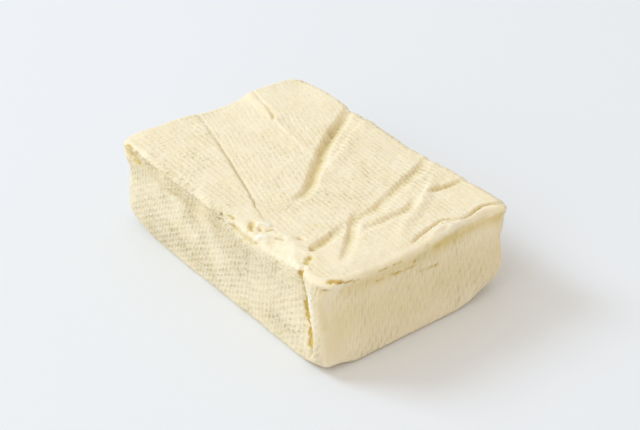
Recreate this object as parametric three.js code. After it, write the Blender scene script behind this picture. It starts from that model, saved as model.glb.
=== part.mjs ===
// Block of pressed tofu: one solid slab that keeps the folds of its pressing cloth.
// Millimetres. X runs along the block, Y across it and Z up; the origin is under its middle.

import * as THREE from "three";
import { mergeVertices } from "three/addons/utils/BufferGeometryUtils.js";

// ---------- Driving dimensions ----------

const LENGTH = 102;
const WIDTH = 68;
const HEIGHT = 30;

const CORNER_RADIUS = 4.4; // upright corners, seen from above
const SPLIT_CORNER_RADIUS = 1.8; // the upright corner beside the split, below its top
const SHARP_CORNER_TOP = 25;
const SHARP_CORNER_FADE = 4;
const TOP_EDGE_RADIUS = 2;
const FOOT_EDGE_RADIUS = 2; // underside edge, midway along a wall
const SWELL_REACH = 9; // how far in from a wall its swelling moves the top

// Rounding of the underside's edge at each corner, and how far along the walls it reaches.
const FOOT_CORNERS = {
  farFront: { radius: 6.5, reach: 16 },
  nearFront: { radius: 6.4, reach: 12 },
  nearBack: { radius: 9, reach: 19 },
  farBack: { radius: 5, reach: 16 },
};

const TOP_ROUND_STEPS = 3;
const FOOT_ROUND_STEPS = 3;
const WALL_STEPS = 10;

// Columns and rows of the top, closer together where the skin is creased, torn or split.
const X_SPANS = [
  { from: -LENGTH / 2, to: -24, step: 3.4 },
  { from: -24, to: 39, step: 1.6 },
  { from: 39, to: 46.2, step: 0.6 },
  { from: 46.2, to: LENGTH / 2, step: 1.2 },
];
const Y_SPANS = [
  { from: -WIDTH / 2, to: -21, step: 1.35 },
  { from: -21, to: WIDTH / 2, step: 2 },
];

const CURD_COLOUR = 0xf1e6c6;
const CURD_ROUGHNESS = 0.62;

// ---------- Relief of the top ----------

// A crease follows a path over the top. The skin falls to its line over the near width and comes
// back up over the far width, which lies to the left of the way the path runs. Depths are spread
// evenly along the path, and a negative depth raises a ridge or a lapped edge instead.
const CREASES = [
  {
    name: "long cut line",
    path: [[-51, -6], [-38, -9.9], [-24, -13.9], [-5, -19.9], [12.5, -26.2]],
    depths: [0.7, 0.7, 0.6, 0.6, 0.4],
    near: 0.9,
    far: 7,
  },
  {
    name: "lapped edge at the back",
    path: [[-51, 14.6], [-40, 13.2], [-34, 11.6], [-29, 9.2]],
    depths: [-0.9, -0.9, -0.7, -0.2],
    near: 4,
    far: 17,
  },
  {
    name: "gap under the lapped edge",
    path: [[-50, 14.9], [-43, 13.5], [-36, 12.1], [-32.5, 10.6], [-30, 9]],
    depths: [0.4, 0.5, 0.7, 0.8, 0.1],
    near: 2,
    far: 0.9,
  },
  {
    name: "dip in front of the lapped edge",
    path: [[-53, 8.6], [-44, 8.8]],
    depths: [0.6, 0],
    near: 3,
    far: 3.4,
  },
  {
    name: "faint line after the lap",
    path: [[-30, 9.2], [-22, 8.2], [-14, 6.9], [-8, 6]],
    depths: [-0.35, -0.35, -0.3, 0],
    near: 0.9,
    far: 4.5,
  },
  {
    name: "main trough",
    path: [[-22.5, 33.4], [-17.4, 24.9], [-9.9, 13.9], [1.2, 0.9], [8.4, -7.6], [11, -15]],
    depths: [0.7, 1.7, 1.8, 1.7, 1.5, 0.3],
    near: 2.3,
    far: 3.8,
  },
  {
    name: "far lip of the main trough",
    path: [[-13.4, 34], [-9, 24], [-1.6, 13], [5, 0], [10, -9], [12, -14.5]],
    depths: [-0.4, -0.5, -0.5, -0.5, -0.4, 0],
    near: 1.6,
    far: 4.5,
  },
  {
    name: "middle crease",
    path: [[14.9, 33.5], [19, 25.9], [21.6, 18.4], [24.7, 10.4], [27.6, 3.4], [28.4, -2.5]],
    depths: [0.5, 1, 0.9, 0.8, 0.9, 0.6],
    near: 1.7,
    far: 3.8,
  },
  {
    name: "branch to the front corner",
    path: [[26.5, -2.5], [29.2, -7], [34.4, -12.3], [39.4, -17.6], [43.6, -22.8]],
    depths: [0.3, 1, 1.1, 0.8, 0.1],
    near: 1.6,
    far: 3.4,
  },
  {
    name: "crease behind the torn corner",
    path: [[29.2, -9.7], [30.6, -14.6], [31.8, -19.2], [32.9, -23.9]],
    depths: [0.3, 0.9, 1.3, 1.1],
    near: 1.7,
    far: 3.2,
  },
  {
    name: "short fold",
    path: [[31.3, 14], [33.6, 10], [34.2, 3], [34.2, -5]],
    depths: [0.3, 0.9, 0.8, 0.6],
    near: 1.7,
    far: 2.8,
  },
  {
    name: "bright ridge",
    path: [[25, 27.5], [30.5, 20], [35, 13], [39, 5], [43, -2]],
    depths: [-0.3, -0.8, -0.8, -0.7, 0],
    near: 1.8,
    far: 3,
  },
  {
    name: "crease near the end corner",
    path: [[31.9, 33], [31.4, 28], [31, 22], [31.4, 18.6]],
    depths: [0.5, 1, 0.9, 0.3],
    near: 1.5,
    far: 2.4,
  },
  {
    name: "line of the turned-over flap",
    path: [[48, 32.3], [45.6, 28], [46.2, 24.5], [47.3, 20.5], [46.8, 17], [44.9, 13.8], [45, 8.6],
      [46.8, 2.4], [48.6, -2.5]],
    depths: [0.9, 1.2, 1, 0.8, 0.6, 0.6, 0.9, 0.7, 0],
    near: 1,
    far: 1.2,
  },
  {
    name: "roll of the turned-over flap",
    path: [[50.6, 32], [49.6, 24], [49.4, 17], [47.6, 10], [49.4, 2]],
    depths: [-0.4, -0.3, -0.4, -0.6, 0],
    near: 1.5,
    far: 1.8,
  },
];

// Swells and hollows of the top: centre, half sizes along X and Y, and height.
const SWELLS = [
  { x: -50, y: 2, rx: 26, ry: 13, rise: -1.1 },
  { x: -32, y: 34, rx: 14, ry: 16, rise: 1.2 },
  { x: 7, y: 34, rx: 13, ry: 14, rise: -1 },
  { x: 21, y: 34, rx: 3, ry: 5, rise: -0.6 },
  { x: -51, y: -34, rx: 8, ry: 8, rise: -1.2 },
  { x: 51, y: 34, rx: 7, ry: 5, rise: -1 },
  { x: 52, y: -9, rx: 7.5, ry: 24, rise: -1 },
];

// The torn stretch along the front edge: a worn hollow with pits and loose flakes in it.
const TORN_PATCHES = [
  { x: 26, y: -34, rx: 15, ry: 8, rise: -1.6 },
  { x: 14, y: -31, rx: 2.2, ry: 1.6, rise: -1.2 },
  { x: 18.3, y: -28.4, rx: 1.6, ry: 2, rise: -1.2 },
  { x: 24.3, y: -28.8, rx: 2.2, ry: 1.6, rise: -0.9 },
  { x: 28.6, y: -24.6, rx: 2, ry: 1.8, rise: -1.1 },
  { x: 37.4, y: -29.6, rx: 1.9, ry: 2.6, rise: -1.3 },
  { x: 15.8, y: -28.2, rx: 1.8, ry: 1.8, rise: 0.7 },
  { x: 19.8, y: -31.6, rx: 2.4, ry: 2, rise: 0.7 },
  { x: 26.5, y: -27.3, rx: 3.4, ry: 1.8, rise: 0.7 },
  { x: 33, y: -30.5, rx: 3.6, ry: 2.4, rise: 0.6 },
];

// ---------- Shape of the walls ----------

// Each wall swells near its foot, draws in at its waist and stands out again under the top,
// where the folded skin overhangs at its lip and at its very edge. Values are spread evenly along
// the wall, in the way that X or Y grows, and say how far the wall stands out there.
const FOOT_HEIGHT = 6;
const FOOT_SPAN = 13;
const WAIST_HEIGHT = 18.5;
const WAIST_SPAN = 6;
const LIP_HEIGHT = 26.5;
const LIP_SPAN = 6;
const EDGE_HEIGHT = 29.4;
const EDGE_SPAN = 3.2;
const WALLS = {
  front: {
    foot: [0.5, 0.5, 0.6, 0.4, 0.1, 0.2, 0.3],
    waist: [-0.2, 0.1, 0.2, 0.1, 0.1, 0.1, 0.1],
    lip: [1, 0.7, 0.2, 0.1, 0, 0, 0.2],
    edge: [0.5, 0.4, 0.3, 0.2, -0.5, -0.5, 0],
  },
  back: {
    foot: [0.9, 1, 1, 0.8, 0.4],
    waist: [0.1, 0.3, 0.3, 0.2, -0.4],
    lip: [0.4, 0.2, 0.3, 0.1, 0],
    edge: [0, 0, 0, 0.3, 0.9],
  },
  near: {
    foot: [0.3, 0.2, 0, -0.2, -0.1],
    waist: [0.1, 0.1, 0, -0.2, -0.4],
    lip: [0.3, 0.35, 0.4, 0.35, 0.3, 0, -0.7, -1.1, 0],
    edge: [0.1, 0.15, 0.2, 0.2, 0.1, -0.3, -1.2, -1.6, 0.9],
  },
  far: {
    foot: [0.4, 0.6, 0.9, 1, 0.9],
    waist: [-0.2, 0.1, 0.2, 0.2, 0.1],
    lip: [0.8, 0.4, 0.2, 0.3, 0.4],
    edge: [0.5, 0.3, 0, 0, 0],
  },
};

// The split in the front wall beside the corner: it leans along X as it comes down. Half widths,
// depths and leans are spread evenly from the underside to the top. The strip between the split
// and the corner stands proud of the wall.
const SPLIT_X = 42.8;
const SPLIT_HALF_WIDTHS = [0.7, 0.8, 1, 1.3, 1.3, 0.8, 1.3, 1.8, 1.4, 0.8, 1, 1.2];
const SPLIT_LEANS = [2, 2.4, 2.1, 0.8, -0.2, -3.2];
const SPLIT_LEAN_REACH = 10;
const SPLIT_DEPTHS = [0, 0.1, 0.7, 1.4, 1.6, 0.6, 1.6, 2.2, 1.4, 0.4, 1.2, 1.4];
const CORNER_STRIP_X = 45.4;
const CORNER_STRIP_SPAN = 3.4;
const CORNER_STRIP_PROUD = 0.6;

// The near wall draws in beside the split, by amounts spread evenly from the underside to the top.
const CORNER_DRAWS = [0, 0.4, 0.8, 1.2, 1.6, 2, 2, 0];
const CORNER_DRAW_REACH = { x: 5, y: 14 };

// Short tears and pits in the walls: place along the wall, height, half sizes and depth.
const WALL_PITS = {
  front: [
    { along: -45, z: 26.8, reach: 5, tall: 2.2, depth: 0.8 },
    { along: -23, z: 23.1, reach: 2, tall: 1.4, depth: 0.8 },
  ],
  near: [{ along: -28.2, z: 29, reach: 3.6, tall: 1.5, depth: 1.2 }],
  back: [],
  far: [],
};

// ---------- Small helpers ----------

const clamp01 = (t) => Math.min(1, Math.max(0, t));

// A smooth hump, 1 at zero and 0 from one unit away.
function bell(t) {
  const edge = 1 - Math.min(1, t * t);
  return edge * edge;
}

// The value at a share of the way along a list of evenly spaced values.
function alongList(values, share) {
  const place = clamp01(share) * (values.length - 1);
  const index = Math.min(values.length - 2, Math.floor(place));
  const blend = place - index;
  const ease = blend * blend * (3 - 2 * blend);
  return values[index] * (1 - ease) + values[index + 1] * ease;
}

// Grid lines through one or more spans, each with its own step, as shares from -1 to 1.
function gridLines(spans, half) {
  const lines = [spans[0].from / half];
  for (const span of spans) {
    const count = Math.round((span.to - span.from) / span.step);
    for (let index = 1; index <= count; index += 1) {
      lines.push((span.from + ((span.to - span.from) * index) / count) / half);
    }
  }
  return lines;
}

// ---------- Top surface ----------

const CREASE_SAMPLES = 24;

function sampledCrease(crease) {
  const spline = new THREE.SplineCurve(crease.path.map(([x, y]) => new THREE.Vector2(x, y)));
  return { ...crease, points: spline.getPoints(CREASE_SAMPLES) };
}

const SAMPLED_CREASES = CREASES.map(sampledCrease);

// Nearest place on a crease: signed distance, positive on its far side, and share of its length.
function placeOnCrease(points, x, y) {
  let nearest = { distance: Infinity, side: 1, share: 0 };
  for (let index = 0; index < points.length - 1; index += 1) {
    const start = points[index];
    const dx = points[index + 1].x - start.x;
    const dy = points[index + 1].y - start.y;
    const share = clamp01(((x - start.x) * dx + (y - start.y) * dy) / (dx * dx + dy * dy));
    const offX = x - start.x - share * dx;
    const offY = y - start.y - share * dy;
    const distance = Math.hypot(offX, offY);
    if (distance < nearest.distance) {
      const side = dx * (y - start.y) - dy * (x - start.x) >= 0 ? 1 : -1;
      nearest = { distance, side, share: (index + share) / (points.length - 1) };
    }
  }
  return nearest;
}

function creaseHeight(crease, x, y) {
  const place = placeOnCrease(crease.points, x, y);
  const width = place.side > 0 ? crease.far : crease.near;
  return -alongList(crease.depths, place.share) * bell(place.distance / width);
}

function patchHeight(patch, x, y) {
  const across = Math.hypot((x - patch.x) / patch.rx, (y - patch.y) / patch.ry);
  return patch.rise * bell(across);
}

function topHeight(x, y) {
  let height = HEIGHT;
  for (const crease of SAMPLED_CREASES) {
    height += creaseHeight(crease, x, y);
  }
  for (const patch of [...SWELLS, ...TORN_PATCHES]) {
    height += patchHeight(patch, x, y);
  }
  return height;
}

// ---------- Walls ----------

function wallOffset(name, along, length, z) {
  const wall = WALLS[name];
  const share = along / length + 0.5;
  let offset = alongList(wall.foot, share) * bell((z - FOOT_HEIGHT) / FOOT_SPAN);
  offset += alongList(wall.waist, share) * bell((z - WAIST_HEIGHT) / WAIST_SPAN);
  offset += alongList(wall.lip, share) * bell((z - LIP_HEIGHT) / LIP_SPAN);
  offset += alongList(wall.edge, share) * bell((z - EDGE_HEIGHT) / EDGE_SPAN);
  for (const pit of WALL_PITS[name]) {
    const across = Math.hypot((along - pit.along) / pit.reach, (z - pit.z) / pit.tall);
    offset -= pit.depth * bell(across);
  }
  return offset;
}

function splitOffset(x, z) {
  const share = z / HEIGHT;
  const across = Math.abs(x - SPLIT_X) / alongList(SPLIT_HALF_WIDTHS, share);
  const cleft = alongList(SPLIT_DEPTHS, share) * clamp01(1 - across);
  const fade = clamp01((z - 1) / 5) * clamp01((HEIGHT + 1 - z) / 4);
  return CORNER_STRIP_PROUD * fade * bell((x - CORNER_STRIP_X) / CORNER_STRIP_SPAN) - cleft;
}

function cornerDraw(x, y, z) {
  const offX = (LENGTH / 2 - x) / CORNER_DRAW_REACH.x;
  const offY = (y + WIDTH / 2) / CORNER_DRAW_REACH.y;
  return alongList(CORNER_DRAWS, z / HEIGHT) * bell(offX) * bell(offY);
}

// Moves a place of the plain rounded slab with the walls beside it.
function moulded(x, y, z) {
  const reachX = bell((LENGTH / 2 - Math.abs(x)) / SWELL_REACH);
  const reachY = bell((WIDTH / 2 - Math.abs(y)) / SWELL_REACH);
  let outX = reachX * wallOffset(x > 0 ? "near" : "far", y, WIDTH, z);
  let outY = reachY * wallOffset(y > 0 ? "back" : "front", x, LENGTH, z);
  outX *= Math.sign(x);
  outX -= cornerDraw(x, y, z);
  if (y < 0) {
    const lean = alongList(SPLIT_LEANS, z / HEIGHT) * bell((x - SPLIT_X) / SPLIT_LEAN_REACH);
    outX += reachY * lean;
    outY += reachY * splitOffset(x, z);
  }
  outY *= Math.sign(y);
  return new THREE.Vector3(x + outX, y + outY, z);
}

function topPoint(u, v) {
  const [x, y] = roundedOutline(u, v, TOP_EDGE_RADIUS, HEIGHT);
  const point = moulded(x, y, HEIGHT);
  point.z = topHeight(point.x, point.y);
  return point;
}

// ---------- Plain rounded slab ----------

// Radius of an upright corner at a height: the one beside the split is sharper below the top.
function uprightRadius(u, v, z) {
  if (u < 0 || v > 0) {
    return CORNER_RADIUS;
  }
  const rise = clamp01((z - SHARP_CORNER_TOP) / SHARP_CORNER_FADE);
  return SPLIT_CORNER_RADIUS + (CORNER_RADIUS - SPLIT_CORNER_RADIUS) * rise;
}

// A place on the rectangle, pulled onto the same rectangle with rounded corners.
function roundedOutline(u, v, inset, z) {
  const halfX = LENGTH / 2 - inset;
  const halfY = WIDTH / 2 - inset;
  const radius = uprightRadius(u, v, z);
  const overX = (Math.abs(u) * halfX - (halfX - radius)) / radius;
  const overY = (Math.abs(v) * halfY - (halfY - radius)) / radius;
  if (overX <= 0 || overY <= 0) {
    return [u * halfX, v * halfY];
  }
  const roundX = overX * Math.sqrt(1 - (overY * overY) / 2);
  const roundY = overY * Math.sqrt(1 - (overX * overX) / 2);
  return [
    Math.sign(u) * (halfX - radius + radius * roundX),
    Math.sign(v) * (halfY - radius + radius * roundY),
  ];
}

function footRadius(u, v) {
  const offX = LENGTH / 2 - Math.abs(u) * (LENGTH / 2);
  const offY = WIDTH / 2 - Math.abs(v) * (WIDTH / 2);
  const corner = FOOT_CORNERS[(u > 0 ? "near" : "far") + (v > 0 ? "Back" : "Front")];
  return FOOT_EDGE_RADIUS + (corner.radius - FOOT_EDGE_RADIUS) * bell((offX + offY) / corner.reach);
}

// The wall above one place on the outline, from the edge of the underside to the top's rim.
function wallColumn(u, v) {
  const column = [];
  const wallPoint = (inset, z) => {
    const [x, y] = roundedOutline(u, v, inset, z);
    return moulded(x, y, z);
  };
  const rim = topPoint(u, v);
  const foot = footRadius(u, v);
  const shoulder = rim.z - TOP_EDGE_RADIUS;
  for (let step = 0; step <= FOOT_ROUND_STEPS; step += 1) {
    const turn = (Math.PI / 2) * (step / FOOT_ROUND_STEPS);
    column.push(wallPoint(foot * (1 - Math.sin(turn)), foot * (1 - Math.cos(turn))));
  }
  for (let step = 1; step <= WALL_STEPS; step += 1) {
    column.push(wallPoint(0, foot + ((shoulder - foot) * step) / WALL_STEPS));
  }
  for (let step = 1; step < TOP_ROUND_STEPS; step += 1) {
    const turn = (Math.PI / 2) * (step / TOP_ROUND_STEPS);
    const inset = TOP_EDGE_RADIUS * (1 - Math.cos(turn));
    column.push(wallPoint(inset, shoulder + TOP_EDGE_RADIUS * Math.sin(turn)));
  }
  column.push(rim);
  return column;
}

// Grid places around the rim, counter-clockwise seen from above.
function rimPlaces(us, vs) {
  const places = [];
  us.slice(0, -1).forEach((u) => places.push([u, -1]));
  vs.slice(0, -1).forEach((v) => places.push([1, v]));
  us.slice(1).reverse().forEach((u) => places.push([u, 1]));
  vs.slice(1).reverse().forEach((v) => places.push([-1, v]));
  return places;
}

function pushTriangle(positions, a, b, c) {
  positions.push(a.x, a.y, a.z, b.x, b.y, b.z, c.x, c.y, c.z);
}

function pushQuad(positions, a, b, c, d) {
  if (a.distanceToSquared(c) <= b.distanceToSquared(d)) {
    pushTriangle(positions, a, b, c);
    pushTriangle(positions, a, c, d);
  } else {
    pushTriangle(positions, a, b, d);
    pushTriangle(positions, b, c, d);
  }
}

function pushTop(positions, us, vs) {
  const rows = vs.map((v) => us.map((u) => topPoint(u, v)));
  for (let row = 0; row < vs.length - 1; row += 1) {
    for (let column = 0; column < us.length - 1; column += 1) {
      const low = rows[row];
      const high = rows[row + 1];
      pushQuad(positions, low[column], low[column + 1], high[column + 1], high[column]);
    }
  }
}

function pushWalls(positions, columns) {
  columns.forEach((column, index) => {
    const next = columns[(index + 1) % columns.length];
    for (let level = 0; level < column.length - 1; level += 1) {
      pushQuad(positions, column[level], next[level], next[level + 1], column[level + 1]);
    }
  });
}

// The flat underside: one large triangle at its middle, joined to the rim all round.
const MIDDLE_TRIANGLE = [[-30, -18], [30, -18], [0, 20]];

function pushUnderside(positions, columns) {
  const rim = columns.map((column) => column[0]);
  const middle = MIDDLE_TRIANGLE.map(([x, y]) => new THREE.Vector3(x, y, 0));
  const nearest = rim.map((point) => {
    const distances = middle.map((corner) => corner.distanceTo(point));
    return distances.indexOf(Math.min(...distances));
  });
  rim.forEach((point, index) => {
    const after = (index + 1) % rim.length;
    const corner = middle[nearest[index]];
    pushTriangle(positions, rim[after], point, corner);
    if (nearest[after] !== nearest[index]) {
      pushTriangle(positions, rim[after], corner, middle[nearest[after]]);
    }
  });
  pushTriangle(positions, middle[0], middle[2], middle[1]);
}

function closedGeometry(positions) {
  const geometry = new THREE.BufferGeometry();
  geometry.setAttribute("position", new THREE.Float32BufferAttribute(positions, 3));
  return mergeVertices(geometry, 1e-4);
}

function slabGeometry() {
  const us = gridLines(X_SPANS, LENGTH / 2);
  const vs = gridLines(Y_SPANS, WIDTH / 2);
  const columns = rimPlaces(us, vs).map(([u, v]) => wallColumn(u, v));
  const positions = [];
  pushTop(positions, us, vs);
  pushWalls(positions, columns);
  pushUnderside(positions, columns);
  return closedGeometry(positions);
}

// ---------- Solid ----------

function tofuBlock() {
  const material = new THREE.MeshStandardMaterial({
    color: CURD_COLOUR,
    roughness: CURD_ROUGHNESS,
    metalness: 0,
  });
  const mesh = new THREE.Mesh(slabGeometry(), material);
  mesh.name = "tofu_block";
  return mesh;
}

const model = new THREE.Group();
model.add(tofuBlock());

export default model;
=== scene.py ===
import math
from typing import NamedTuple

import bpy
import numpy as np
from bpy.props import FloatProperty, FloatVectorProperty, IntProperty, PointerProperty
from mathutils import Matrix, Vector


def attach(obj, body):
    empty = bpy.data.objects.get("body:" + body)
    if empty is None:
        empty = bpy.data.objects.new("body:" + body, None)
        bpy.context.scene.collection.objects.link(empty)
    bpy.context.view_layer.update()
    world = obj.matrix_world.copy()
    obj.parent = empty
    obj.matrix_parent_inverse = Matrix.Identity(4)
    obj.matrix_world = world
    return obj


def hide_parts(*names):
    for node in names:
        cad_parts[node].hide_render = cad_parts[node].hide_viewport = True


bl_info = {
    "name": "Tofu Block",
    "version": (1, 0, 0),
    "blender": (4, 5, 0),
    "location": "View3D > Sidebar > Tofu",
    "description": "Builds a block of pressed tofu with cloth weave, folds and a split corner",
    "category": "Add Mesh",
}

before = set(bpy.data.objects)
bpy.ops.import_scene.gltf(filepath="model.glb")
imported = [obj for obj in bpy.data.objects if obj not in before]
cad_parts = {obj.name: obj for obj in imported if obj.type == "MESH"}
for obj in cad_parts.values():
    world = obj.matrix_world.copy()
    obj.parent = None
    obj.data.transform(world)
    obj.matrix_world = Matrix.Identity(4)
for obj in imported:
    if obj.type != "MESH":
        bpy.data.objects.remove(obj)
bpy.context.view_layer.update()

MM = 0.001  # the relief below is laid out in millimetres

# --- Folds, cuts and torn places, in millimetres ---


class Crease(NamedTuple):
    """A fold or cut of the top, or a ridge or lapped edge where its depths are below zero.

    The skin falls to the path over the near width and comes back up over the far width, which
    lies to the left of the way the path runs. Depths are spread evenly along the path. Gather
    pulls the mesh towards the path, so that a sharp cut stays sharp. Stain is painted shade: how
    yellow and darker the bottom is painted, or how pale it is painted if below zero.
    """

    name: str
    path: tuple
    depths: tuple
    near: float
    far: float
    gather: float = 0
    stain_and_shade: float = 0


class Mark(NamedTuple):
    """A cut, pit, stain or flake of a wall or an edge.

    It sinks the skin along the path by depths spread evenly over it (a flake's are below zero),
    over one half width above the path and another below it. Stain is how yellow and darker it is
    painted: yellow in pits and cuts, partly the curd's own and partly painted shade, and painted
    shade in recesses, beneath overhangs and over shaded walls; below zero it clears what others
    painted there. Pale is how white it is painted, for flaked curd and for painted highlights;
    below zero it is painted brown, in each gash and as painted shade.
    """

    name: str
    path: tuple
    depths: tuple
    above: float
    below: float
    stain_and_shade: float = 0
    pale: float = 0


CUT_LINE = ((-51, -6), (-38, -9.9), (-24, -13.9), (-5, -19.9), (12.5, -26.2))
TROUGH_LINE = ((-22.5, 33.4), (-17.4, 24.9), (-9.9, 13.9), (1.2, 0.9), (8.4, -7.6), (11, -15))

# The stain of each crease is painted shade at its bottom; that of the flap's roll, below zero, paints the
# roll pale.
CREASES = (
    Crease(
        "long cut line",
        CUT_LINE,
        (0.3, 0.35, 0.45, 0.6, 0.7, 0.6, 0.3), near=0.5, far=0.5, gather=1.4, stain_and_shade=0.65,
    ),
    Crease(
        "rise beyond the cut line",
        CUT_LINE,
        (0.3, 0.3, 0.3, 0.3, 0.2), near=1.2, far=9,
    ),
    Crease(
        "lapped edge at the back",
        ((-51, 14.6), (-40, 13.2), (-34, 11.6), (-29, 9.2)),
        (-0.8, -0.8, -0.6, -0.2), near=4, far=17,
    ),
    Crease(
        "gap under the lapped edge",
        ((-50, 14.9), (-43, 13.5), (-36, 12.1), (-32.5, 10.6), (-30, 9)),
        (0.3, 0.3, 0.6, 0.8, 0.1), near=1, far=0.5, gather=1.5, stain_and_shade=0.6,
    ),
    Crease(
        "dip in front of the lapped edge",
        ((-53, 8.6), (-44, 8.8)),
        (0.6, 0), near=3, far=3.4,
    ),
    Crease(
        "faint line after the lap",
        ((-30, 9.2), (-22, 8.2), (-14, 6.9), (-8, 6)),
        (-0.35, -0.35, -0.3, 0), near=0.6, far=4.5, gather=1.4,
    ),
    Crease(
        "main trough",
        TROUGH_LINE,
        (0.7, 1.7, 1.8, 1.7, 1.5, 0.3), near=2.1, far=3.4, stain_and_shade=0.55,
    ),
    Crease(
        "far lip of the main trough",
        ((-13.4, 34), (-9, 24), (-1.6, 13), (5, 0), (10, -9), (12, -14.5)),
        (-0.4, -0.5, -0.5, -0.5, -0.4, 0), near=1.6, far=4.5,
    ),
    Crease(
        "middle crease",
        ((14.9, 33.5), (19, 25.9), (21.6, 18.4), (24.7, 10.4), (27.6, 3.4), (28.4, -2.5)),
        (0.5, 1, 0.9, 0.8, 0.9, 0.6), near=1.5, far=3.8, stain_and_shade=0.35,
    ),
    Crease(
        "branch to the front corner",
        ((26.5, -2.5), (29.2, -7), (34.4, -12.3), (39.4, -17.6), (43.6, -22.8)),
        (0.3, 1, 1.1, 0.8, 0.1), near=1.3, far=3.2, stain_and_shade=0.4,
    ),
    Crease(
        "crease behind the torn corner",
        ((29.2, -9.7), (30.6, -14.6), (31.8, -19.2), (32.9, -23.9)),
        (0.3, 0.9, 1.3, 1.1), near=1.4, far=3.2, stain_and_shade=0.5,
    ),
    Crease(
        "short fold",
        ((31.3, 14), (33.6, 10), (34.2, 3), (34.2, -5)),
        (0.3, 0.9, 0.8, 0.6), near=1.4, far=2.8, stain_and_shade=0.3,
    ),
    Crease(
        "bright ridge",
        ((25, 27.5), (30.5, 20), (35, 13), (39, 5), (43, -2)),
        (-0.3, -0.8, -0.8, -0.7, 0), near=1.8, far=3,
    ),
    Crease(
        "crease near the end corner",
        ((31.9, 33), (31.4, 28), (31, 22), (31.4, 18.6)),
        (0.5, 1, 0.9, 0.3), near=1.2, far=2.2, stain_and_shade=0.5,
    ),
    Crease(
        "line of the turned-over flap",
        (
            (48, 32.3), (45.6, 28), (46.2, 24.5), (47.3, 20.5), (46.8, 17), (44.9, 13.8), (45, 8.6),
            (46.8, 2.4), (48.6, -2.5),
        ),
        (0.9, 1.2, 1, 0.8, 0.6, 0.6, 0.9, 0.7, 0), near=0.6, far=0.8, gather=1.5, stain_and_shade=0.7,
    ),
    Crease(
        "roll of the turned-over flap",
        ((50.6, 32), (49.6, 24), (49.4, 17), (47.6, 10), (49.4, 2)),
        (-0.4, -0.3, -0.4, -0.6, 0), near=1.2, far=1.2, stain_and_shade=-0.3,
    ),
)

CREASE_WAVER = 0.22  # sideways shift that keeps the lines of the creases from running too evenly
CREASE_WAVER_SIZE = 3
CREASE_WAVER_SEED = 3
GATHER_POWER = 1.6  # how closely the mesh gathers at a sharp crease
GATHER_ENDS = 12  # it gathers fully from a twelfth of the crease's length on
CREASE_SHADE_FALL = 1.3  # how fast the painted shade of a crease fades towards its sides

# Swells and hollows of the top: centre, half sizes along X and Y, and height.
SWELLS = (
    (-50, 2, 26, 13, -1.1),
    (-32, 34, 14, 16, 1.2),
    (7, 34, 13, 14, -1),
    (21, 34, 3, 5, -0.6),
    (-51, -34, 8, 8, -1.2),
    (51, 34, 7, 5, -1),
    (52, -9, 7.5, 24, -1),
)

# The torn stretch along the front edge is worn hollow, and its skin is lumpy and slightly paler.
TORN_HOLLOW = (26, -34, 15, 8, -1.6)
TORN_CENTRE = (26, -31, 30)
TORN_REACH = (17, 8, 6)
TORN_LUMPS = 0.4
TORN_LUMP_SIZE = 2.2
TORN_PALE = 0.1

# Each wall swells near its foot, draws in at its waist and stands out again under the top: the
# height and half span of each band, and its amounts, spread evenly in the way that X or Y grows.
WALL_BANDS = {"foot": (6, 13), "waist": (18.5, 6), "lip": (26.5, 6), "edge": (29.4, 3.2)}
WALLS = {
    "front": {
        "foot": (0.5, 0.5, 0.6, 0.4, 0.1, 0.2, 0.3),
        "waist": (-0.2, 0.1, 0.2, 0.1, 0.1, 0.1, 0.1),
        "lip": (1, 0.7, 0.2, 0.1, 0, 0, 0.2),
        "edge": (0.5, 0.4, 0.3, 0.2, -0.5, -0.5, 0),
    },
    "back": {
        "foot": (0.9, 1, 1, 0.8, 0.4),
        "waist": (0.1, 0.3, 0.3, 0.2, -0.4),
        "lip": (0.4, 0.2, 0.3, 0.1, 0),
        "edge": (0, 0, 0, 0.3, 0.9),
    },
    "near": {
        "foot": (0.3, 0.2, 0, -0.2, -0.1),
        "waist": (0.1, 0.1, 0, -0.2, -0.4),
        "lip": (0.3, 0.35, 0.4, 0.35, 0.3, 0, -0.7, -1.1, 0),
        "edge": (0.1, 0.15, 0.2, 0.2, 0.1, -0.3, -1.2, -1.6, 0.9),
    },
    "far": {
        "foot": (0.4, 0.6, 0.9, 1, 0.9),
        "waist": (-0.2, 0.1, 0.2, 0.2, 0.1),
        "lip": (0.8, 0.4, 0.2, 0.3, 0.4),
        "edge": (0.5, 0.3, 0, 0, 0),
    },
}
SWELL_REACH = 9  # how far in from a wall the top and the underside follow its swell

# The split in the front wall beside the corner leans along X as it comes down. Half widths,
# depths and leans are spread evenly from the underside to the top. Its edge is jagged by waves
# of the given sizes and lengths.
SPLIT_X = 42.8
SPLIT_HALF_WIDTHS = (0.3, 0.5, 0.9, 1.3, 1.3, 0.8, 1.3, 1.8, 1.1, 1, 1.1, 1.2)
SPLIT_DEPTHS = (0, 0.1, 0.7, 1.4, 1.6, 0.6, 1.6, 2.2, 1.1, 0.7, 1.3, 1.4)
SPLIT_LEANS = (2, 2.4, 2.1, 0.8, -0.2, -3.2)
SPLIT_LEAN_REACH = 10
SPLIT_JAGS = ((0.3, 4.3), (0.22, 1.9), (0.12, 1.1))
SPLIT_STAIN = 2
SPLIT_STAIN_FROM = 0.5
SPLIT_STAIN_SPAN = 0.8

# The wall turns in gently to the left of the split.
SHOULDER_REACH = 3.4
SHOULDER_DEPTH = 0.7
SHOULDER_HEIGHT = 16
SHOULDER_SPAN = 18

# The strip of curd to the right of the split stands proud, less so near its two ends.
STRIP_X = 45.4
STRIP_REACH = (1.8, 8)
STRIP_PROUD = 0.6
STRIP_END = 1
STRIP_FOOT_FADE = 5
STRIP_HEAD_FADE = 4

# The upright corner beside the split is sharper than the others up to the flap over it.
FLAP_HEIGHT = 25
FLAP_SPAN = 4

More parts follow.
